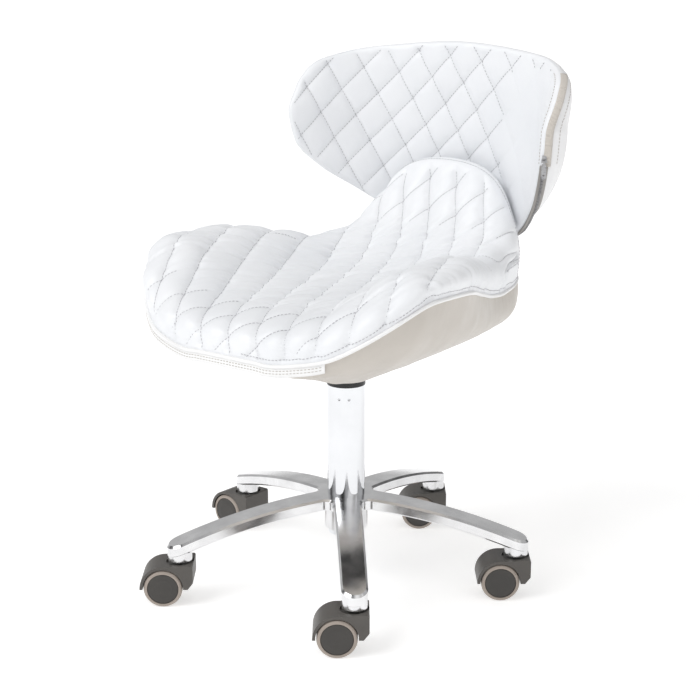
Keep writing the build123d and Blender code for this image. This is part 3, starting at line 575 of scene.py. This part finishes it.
def make_seat_pad():
    """The quilted seat pad and its stitches. Returns its skin and its underside's lowest heights."""
    grid, run = seat_surface()
    middle = grid[:, SEAT_COLUMNS // 2, :]
    crest = int(np.argmax(middle[:, 2]))
    rising = np.arange(int(np.argmax(middle[:, 1] > -0.05)), crest + 1)
    heights = np.maximum.accumulate(middle[rising, 2])
    by_height = np.interp(grid[:, :, 2], heights, run[rising])
    tongue = eased(grid[:, :, 1], TONGUE_FROM, TONGUE_FROM + TONGUE_TURN)
    along = run[:, None] * (1 - tongue) + by_height * tongue - run[crest]
    across = grid[:, :, 0]
    depth, nearness = pulled_in(across, along, SEAT_QUILT)
    edge = np.minimum(nearest_distance(grid, grid[:, 0, :]), nearest_distance(grid, grid[:, -1, :]))
    edge = np.minimum(edge, nearest_distance(grid, grid[0]))
    turn = math.radians(SEAT_QUILT[1][0])
    creases = across * math.cos(turn) + along * math.sin(turn)
    pan = eased(grid[:, :, 1], -0.20, -0.12) * (1 - 0.75 * eased(along, -0.14, -0.08))
    pan *= 1 - eased(np.abs(across), 0.10, 0.14) * eased(grid[:, :, 1], -0.02, 0.05)
    wrinkle = ripples(creases / WRINKLE_PITCH, across / (60 * MM)) * nearness * pan * WRINKLE_DEPTH
    quilted = 1 - eased(grid[:, :, 1], REAR_PANEL - 14 * MM, REAR_PANEL)
    drop = (depth + wrinkle) * eased(edge, 0.0, 10 * MM) * quilted
    swell = (1.5 + 2.5 * eased(np.abs(across), 0.12, 0.19)) * MM * eased(edge, 0, 20 * MM) * quilted
    grid = grid - normals_of(grid) * (drop - swell)[:, :, None]
    floor = under_surface()[:, UNDER_COLUMNS // 2, 2]
    lowest = np.maximum(middle[:, 2] - PAD_FOAM, floor + 5 * MM)
    pad = closed_sheet("quilted_seat_pad", grid, lid_under(grid, lowest), FINISHES["white_leatherette"],
                       "white_leatherette", 60)
    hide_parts("seat_cushion")
    proud = grid + normals_of(grid) * THREAD_LIFT
    wanted = (quilted > 0.5) & (edge > 3 * MM)
    routes = quilt_routes(proud, across, along, SEAT_QUILT[:1], wanted)
    routes += quilt_routes(proud, across, along, SEAT_QUILT[1:], wanted & (pan < 0.5))
    make_stitching("seat_quilt_thread", routes, FINISHES["thread"])
    side = inset_route(proud, edge, 7 * MM)
    panel = proud[np.argmax(middle[:, 1] > REAR_PANEL)]
    make_stitching("seat_edge_thread", [side[side[:, 1] < REAR_PANEL], panel], FINISHES["thread"])
    return grid, lowest


def under_surface():
    """The under cover's skin as a grid from the sitter's right seam, under the seat, to the left one."""
    pad, _ = seat_table(SEAT_ROWS)
    table = np.array([[y, *bulge, *flat] for y, bulge, flat in UNDER_SECTIONS], float) * MM
    rows = smooth_through(table[:, 0], table, np.clip(pad[:, 0], table[0, 0], table[-1, 0]))
    half = UNDER_COLUMNS // 2
    grid = np.empty((SEAT_ROWS, UNDER_COLUMNS, 3))
    for row, (upper, lower) in enumerate(zip(pad, rows)):
        side = evenly([upper[1:3], lower[1:3], lower[3:5]], COVER_SIDE_POINTS)
        bottom = np.linspace(side[-1], (0, side[-1][1]), half - COVER_SIDE_POINTS + 1)[1:]
        right = np.vstack([side, bottom])
        section = np.vstack([right, right[::-1] * (-1, 1)])[:UNDER_COLUMNS]
        grid[row, :, 0] = section[::-1, 0]
        grid[row, :, 1] = upper[0]
        grid[row, :, 2] = section[::-1, 1]
    return grid


def make_under_cover(lowest):
    """The smooth side and under cover, below a pad with the given lowest heights."""
    grid = under_surface()
    left, right = nearest_distance(grid, grid[:, 0, :]), nearest_distance(grid, grid[:, -1, :])
    below = np.minimum(left, right)
    run = run_along(grid[:, -1, :])[:, None]
    pucker = ripples(run / (7 * MM), np.sign(grid[:, :, 0]) * 5 + below / (40 * MM))
    fold = ripples(run / (30 * MM), np.sign(grid[:, :, 0]) * 3 + below / (70 * MM))
    swell = pucker * 1.3 * MM * np.exp(-below / (11 * MM)) + fold * 1.4 * MM * eased(below, 0, 20 * MM)
    swell *= eased(below, 0.5 * MM, 5 * MM) * eased(grid[:, :, 2], 0.324, 0.332)
    grid = grid - normals_of(grid) * swell[:, :, None]
    lid = lid_under(grid, lowest - 2 * MM)
    cover = closed_sheet("seat_side_panel", grid, lid, FINISHES["side_leatherette"], "side_leatherette", 50)
    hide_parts("seat_under_cover")


def seat_seam(pad):
    """The line of the seat's seam: along the sitter's right, round the front, back along the left."""
    right = pad[::-1, 0, :]
    front = pad[0, 1:-1, :]
    left = pad[:, -1, :]
    return np.vstack([right, front, left])


def spaced(line, step):
    """A line's points at even steps."""
    run = run_along(line)
    keep = np.concatenate([[True], np.diff(run) > 1e-7])
    line, run = line[keep], run[keep]
    at = np.linspace(0, run[-1], max(int(run[-1] / step), 2))
    return np.column_stack([np.interp(at, run, column) for column in line.T])


def outward(line):
    """Level directions away from the object's middle."""
    out = line * (1, 1, 0)
    return out / np.linalg.norm(out, axis=1, keepdims=True)


def make_piping(pad):
    """The piping along the seat's seam. Returns the smoothed line of the seam."""
    line = spaced(seat_seam(pad), 3 * MM)
    out = outward(line)
    smoothing_passes = 6
    for _ in range(smoothing_passes):
        line[1:-1] = (line[:-2] + 2 * line[1:-1] + line[2:]) / 4
    route = line + out * 1.6 * MM
    radius = (2.4 - 1.1 * eased(route[:, 1], 0.17, 0.23)) * MM
    points, faces = tube_of(route, radius, 14)
    piping = make_piece("seat_edge_piping", points, faces, FINISHES["piping_white"], "piping_white")
    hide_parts("seat_piping")
    return line


def make_front_band(line):
    """The white band below the piping, from the sitter's right round to a seam at the left corner."""
    ends = np.where(line[:, 0] < 0, BAND_RIGHT_END, BAND_LEFT_END)
    front = line[:, 1] < ends
    route = line[front]
    out = outward(route)
    up = np.broadcast_to((0.0, 0.0, 1.0), route.shape)
    profile = np.array([(-4, -0.5), (0.4, -1), (2.2, -3.5), (2.7, -7), (2.3, -10.5), (1.2, -13),
                        (-0.6, -13.8), (-9, -10)]) * MM
    make_piece("seat_front_band", *lofted(route, out, up, profile), FINISHES["piping_white"],
               "piping_white", 60)
    rows = [route + out * sideways * MM + up * down * MM for sideways, down in ((2.6, -5.0), (2.7, -8.4))]
    make_stitching("seat_band_thread", rows, FINISHES["thread_warm"])


# ------------------------------------------------------------------ back
def back_levels():
    """The back's front surface by height: y and distance across, at shares of the half width."""
    table = np.array(BACK_SECTIONS, float) * MM
    levels = np.linspace(table[0, 0], table[-1, 0], BACK_LEVELS)
    rows = smooth_through(table[:, 0], table, levels)
    shares = np.linspace(-1, 1, BACK_SHARES)
    tips, depths, lengths = [], [], []
    for z, tip_x, tip_y, middle_y in rows:
        wrap = (middle_y - tip_y) / tip_x
        lean = math.atan(2.6 * wrap)
        tip = (tip_x + 4 * MM * math.sin(lean), tip_y + 4 * MM * math.cos(lean))
        shoulder = (0.745 * tip_x, middle_y - 0.33 * (middle_y - tip_y))
        curve = evenly(mirrored([(0, middle_y), shoulder, tip]), 200)
        y = np.interp(shares * tip[0], curve[:, 0], curve[:, 1])
        run = run_along(np.column_stack([shares * tip[0], y]))
        tips.append(tip[0])
        depths.append(y)
        lengths.append(run - run[len(run) // 2])
    return levels, shares, np.array(tips), np.array(depths), np.array(lengths)


def looked_up(table, row, column):
    """Values between the entries of a table, or on the same slope past its ends."""
    r0 = np.clip(row.astype(int), 0, table.shape[0] - 2)
    c0 = np.clip(column.astype(int), 0, table.shape[1] - 2)
    fr, fc = row - r0, column - c0
    return ((1 - fr) * ((1 - fc) * table[r0, c0] + fc * table[r0, c0 + 1])
            + fr * ((1 - fc) * table[r0 + 1, c0] + fc * table[r0 + 1, c0 + 1]))


def crowded(count, both_ends):
    """Shares that lie closer together near the end, or near both ends."""
    crowd = 0.44
    t = np.linspace(-1 if both_ends else 0, 1, count)
    return t * (1 + crowd) - crowd * t ** 3


def back_surface():
    """The back's front surface as a grid, upwards and across, and each point's distance across."""
    levels, shares, tips, depths, lengths = back_levels()
    top = np.array(BACK_TOP, float) * MM
    side_z = np.arange(levels[0], RIM_LINE_TOP, 6 * MM)
    side = np.column_stack([np.interp(side_z, levels, tips), side_z])
    side = np.vstack([side, top[:BACK_CORNER + 1]])
    side_line = evenly(side, FINE_POINTS)
    run = run_along(side_line)
    up = crowded(BACK_ROWS, False)
    side_line = np.column_stack([np.interp(up * run[-1], run, column) for column in side_line.T])
    top_line = evenly(mirrored(top[BACK_CORNER:][::-1]), FINE_POINTS)
    wing = lengths[len(lengths) * 3 // 4]
    spread = np.interp(crowded(BACK_COLUMNS, True) * wing[-1], wing, shares)
    top_run = np.interp(spread, top_line[:, 0] / top_line[-1, 0], np.arange(FINE_POINTS))
    top_line = np.column_stack([np.interp(top_run, np.arange(FINE_POINTS), column) for column in top_line.T])
    u = (spread[None, :] + 1) / 2
    v = up[:, None]
    right, left = side_line, side_line * (-1, 1)
    bottom = np.column_stack([spread * side_line[0, 0], np.full(BACK_COLUMNS, side_line[0, 1])])
    plane = np.empty((BACK_ROWS, BACK_COLUMNS, 2))
    for k in range(2):
        plane[:, :, k] = ((1 - v) * bottom[None, :, k] + v * top_line[None, :, k]
                          + (1 - u) * left[:, None, k] + u * right[:, None, k]
                          - (1 - u) * (1 - v) * left[0, k] - u * (1 - v) * right[0, k]
                          - (1 - u) * v * left[-1, k] - u * v * right[-1, k])
    x, z = plane[:, :, 0], plane[:, :, 1]
    row = (z - levels[0]) / (levels[1] - levels[0])
    tip = np.interp(z, levels, tips)
    column = (x / tip + 1) / 2 * (len(shares) - 1)
    y = looked_up(depths, row, column)
    across = looked_up(lengths, row, column)
    return np.dstack([x, y, z]), across


def rounded(edge, reach):
    """A quarter round: 0 at the rim, 1 from reach inwards."""
    share = np.clip(edge / reach, 0, 1)
    return np.sqrt(1 - (1 - share) ** 2)


def make_back():
    """The back's pad, rear cover and stitches. Returns its front, the way to its rear, and its seam."""
    grid, across = back_surface()
    rear = -normals_of(grid)
    rim = np.vstack([grid[:, 0, :], grid[-1], grid[::-1, -1, :]])
    edge = nearest_distance(grid, rim)
    height = grid[:, :, 2]
    depth, nearness = pulled_in(across, height, BACK_QUILT)
    top = eased(height, 0.64, 0.69)
    plain = eased(across, 0.02, 0.13) * (1 - 0.8 * top)
    wrinkle = ripples(across / (9 * MM), height / (9 * MM)) * nearness * 0.5 * MM
    drop = (depth + wrinkle) * (1 - 0.85 * plain) * eased(edge, 0, 14 * MM)
    front = SEAM_DEPTH * (1 - rounded(edge, 11 * MM)) + drop - 1.5 * MM * eased(edge, 0, 30 * MM)
    shares = RIM_SHARE + (1 - RIM_SHARE) * rounded(edge, RIM_REACH)
    back = SEAM_DEPTH + (BACK_THICK * shares - SEAM_DEPTH) * rounded(edge, 12 * MM)
    low = eased(height, 0.40, 0.47)
    bulge = 4 * MM * eased(edge, 0, 70 * MM) * low
    folds = ripples(across / (55 * MM), height / (75 * MM)) * 1.2 * MM * eased(edge, 0, 30 * MM) * low
    seam = grid + rear * SEAM_DEPTH
    face = grid + rear * front[:, :, None]
    pad = closed_sheet("quilted_back_pad", face, seam + rear * 0.5 * MM, FINISHES["white_leatherette"],
                       "white_leatherette", 60)
    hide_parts("back_cushion")
    skin = grid + rear * (back + bulge + folds)[:, :, None]
    cover = closed_sheet("back_rear_cover", skin, seam + rear * 1.5 * MM, FINISHES["back_leatherette"],
                         "back_leatherette", 60)
    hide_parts("back_cover")
    proud = face - rear * THREAD_LIFT
    routes = quilt_routes(proud, across, height, BACK_QUILT, (plain < 0.5) & (edge > 3 * MM))
    make_stitching("back_quilt_thread", routes, FINISHES["thread"])
    rows = [inset_route(proud, edge, 5 * MM), inset_route(skin + rear * THREAD_LIFT, edge, 9 * MM)]
    rows = [row[(row[:, 2] > ZIP_TOP) & (row[:, 2] < SEAM_THREAD_TOP)] for row in rows]
    make_stitching("back_seam_thread", rows, FINISHES["thread_warm"])
    return grid, rear, seam


def make_zip(grid, rear, seam):
    """The zip up the back's rim on the sitter's left, and the puckered seam above it."""
    rim = seam[:, -1, :]
    away = rim - seam[:, -8, :]
    away -= rear[:, -1, :] * (away * rear[:, -1, :]).sum(1, keepdims=True)
    along_rim = run_along(rim)
    smoothing_passes = 12

    def stretch_of(low, high, step):
        """The rim between two heights, with the directions away from the back and to its rear."""
        wanted = along_rim[(rim[:, 2] > low) & (rim[:, 2] < high)]
        at = np.arange(wanted[0], wanted[-1], step)
        line, out, behind = (np.column_stack([np.interp(at, along_rim, column) for column in table.T])
                             for table in (rim, away, rear[:, -1, :]))
        for _ in range(smoothing_passes):
            out[1:-1] = (out[:-2] + out[1:-1] + out[2:]) / 3
            behind[1:-1] = (behind[:-2] + behind[1:-1] + behind[2:]) / 3
        return line, *(table / np.linalg.norm(table, axis=1, keepdims=True) for table in (out, behind))

    line, out, behind = stretch_of(ZIP_BOTTOM, ZIP_TOP, 1.2 * MM)
    profile = np.array([(-1, -5.5), (1.2, -5.2), (2.6, -3.2), (3.2, -1.2), (3.2, 1.2), (2.6, 3.2),
                        (1.2, 5.2), (-1, 5.5)]) * MM
    tape = make_piece("back_zip_tape", *lofted(line, out, behind, profile), FINISHES["zip_tape"],
                      "zip_tape", 50)
    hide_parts("back_zip")
    tooth = np.array([(2.8, -1.9), (4.3, -1.7), (4.9, -0.8), (4.9, 0.8), (4.3, 1.7), (2.8, 1.9)]) * MM
    teeth = []
    for i in range(1, len(line) - 2, 2):
        teeth.append(lofted(line[i:i + 2], out[i:i + 2], behind[i:i + 2], tooth))
    make_piece("back_zip_teeth", *joined(teeth), FINISHES["zip_metal"], "zip_metal", 40)

    line, out, behind = stretch_of(ZIP_TOP - 2 * MM, WELT_TOP, 0.8 * MM)
    pucker = 1 + 0.9 * ripples(run_along(line) / (2.6 * MM), 0.0)
    profile = np.array([(-1.2, -1.6), (1.3, -1.2), (1.9, 0.8), (1.9, 4.2), (1.2, 7.2), (-1.2, 8.2)]) * MM
    make_piece("back_seam_welt", *lofted(line, out * pucker[:, None], behind, profile),
               FINISHES["side_leatherette"], "side_leatherette")


# ------------------------------------------------------------------ stage, light, camera
def make_floor():
    """A wide pale floor that also fills the background."""
    bpy.ops.mesh.primitive_plane_add(size=40, location=(0, 0, 0))
    floor = bpy.context.object
    floor.name = "floor"
    material, nodes, links, shader, places = blank("floor_white")
    haze = pattern(nodes, links, places, 0.8)
    colour = tinted(nodes, links, haze, (0.69, 0.69, 0.69), (0.71, 0.71, 0.71))
    links.new(colour, shader.inputs["Base Color"])
    shader.inputs["Roughness"].default_value = 0.9
    shader.inputs["Emission Color"].default_value = (1, 1, 1, 1)
    shader.inputs["Emission Strength"].default_value = 0.52
    floor.data.materials.append(material)


def make_studio():
    """Even light from all round; what is glossy mirrors light and dark bands instead."""
    world = bpy.data.worlds.new("studio")
    bpy.context.scene.world = world
    world.use_nodes = True
    nodes, links = world.node_tree.nodes, world.node_tree.links
    background = nodes["Background"]
    direction = nodes.new("ShaderNodeTexCoord").outputs["Generated"]
    split = nodes.new("ShaderNodeSeparateXYZ")
    links.new(direction, split.inputs["Vector"])
    turn = nodes.new("ShaderNodeMath")
    turn.operation = "ARCTAN2"
    links.new(split.outputs["Y"], turn.inputs[0])
    links.new(split.outputs["X"], turn.inputs[1])
    share = nodes.new("ShaderNodeMapRange")
    share.inputs["From Min"].default_value = -math.pi
    share.inputs["From Max"].default_value = math.pi
    links.new(turn.outputs["Value"], share.inputs["Value"])
    bands = nodes.new("ShaderNodeValToRGB")
    stops = ((0.0, 0.95), (0.06, 0.10), (0.13, 0.9), (0.22, 1.0), (0.27, 0.12), (0.31, 0.06), (0.35, 0.85),
             (0.44, 1.0), (0.50, 0.15), (0.55, 0.9), (0.66, 1.0), (0.72, 0.10), (0.78, 0.9), (0.93, 1.0))
    while len(bands.color_ramp.elements) < len(stops):
        bands.color_ramp.elements.new(0.5)
    for element, (place, value) in zip(bands.color_ramp.elements, stops):
        element.position = place
        element.color = (value, value, value, 1)
    links.new(share.outputs["Result"], bands.inputs["Fac"])
    path = nodes.new("ShaderNodeLightPath")
    mixed = nodes.new("ShaderNodeMix")
    mixed.data_type = "RGBA"
    mixed.inputs["A"].default_value = (1, 1, 1, 1)
    links.new(path.outputs["Is Glossy Ray"], mixed.inputs["Factor"])
    links.new(bands.outputs["Color"], mixed.inputs["B"])
    links.new(mixed.outputs["Result"], background.inputs["Color"])
    strength = nodes.new("ShaderNodeMapRange")
    strength.inputs["To Min"].default_value = 0.55
    strength.inputs["To Max"].default_value = 1.1
    links.new(path.outputs["Is Camera Ray"], strength.inputs["Value"])
    links.new(strength.outputs["Result"], background.inputs["Strength"])


def placed(name, data, azimuth, elevation, distance):
    """A light or a camera that looks at the aim from a distance."""
    item = bpy.data.objects.new(name, data)
    bpy.context.scene.collection.objects.link(item)
    a, e = math.radians(azimuth), math.radians(elevation)
    back = Vector((math.sin(a) * math.cos(e), -math.cos(a) * math.cos(e), math.sin(e)))
    item.location = Vector(CAMERA_AIM) + back * distance
    item.rotation_mode = "QUATERNION"
    item.rotation_quaternion = (-back).to_track_quat("-Z", "Y")
    return item


def make_light(name, azimuth, elevation, spread, strength, colour):
    """A distant softbox: even light over the floor, with soft shadows."""
    data = bpy.data.lights.new(name, "SUN")
    data.angle = math.radians(spread)
    data.energy = strength
    data.color = colour
    placed(name, data, azimuth, elevation, 3)


def make_camera():
    """The camera at the photograph's viewing angle."""
    data = bpy.data.cameras.new("camera")
    data.lens = CAMERA_LENS
    data.sensor_width = 36
    data.shift_x = CAMERA_SHIFT
    bpy.context.scene.camera = placed("camera", data, CAMERA_AZIMUTH, CAMERA_ELEVATION, CAMERA_DISTANCE)


dress_cad_nodes()
pad_grid, pad_lowest = make_seat_pad()
make_under_cover(pad_lowest)
make_front_band(make_piping(pad_grid))
make_zip(*make_back())

make_floor()
make_studio()
make_light("key", -22, 46, 40, 1.45, (1.0, 1.0, 1.0))
make_light("fill", 75, 30, 60, 0.35, (1.0, 0.98, 0.96))
make_camera()
bpy.context.scene.view_settings.view_transform = "Standard"

bpy.context.view_layer.update()
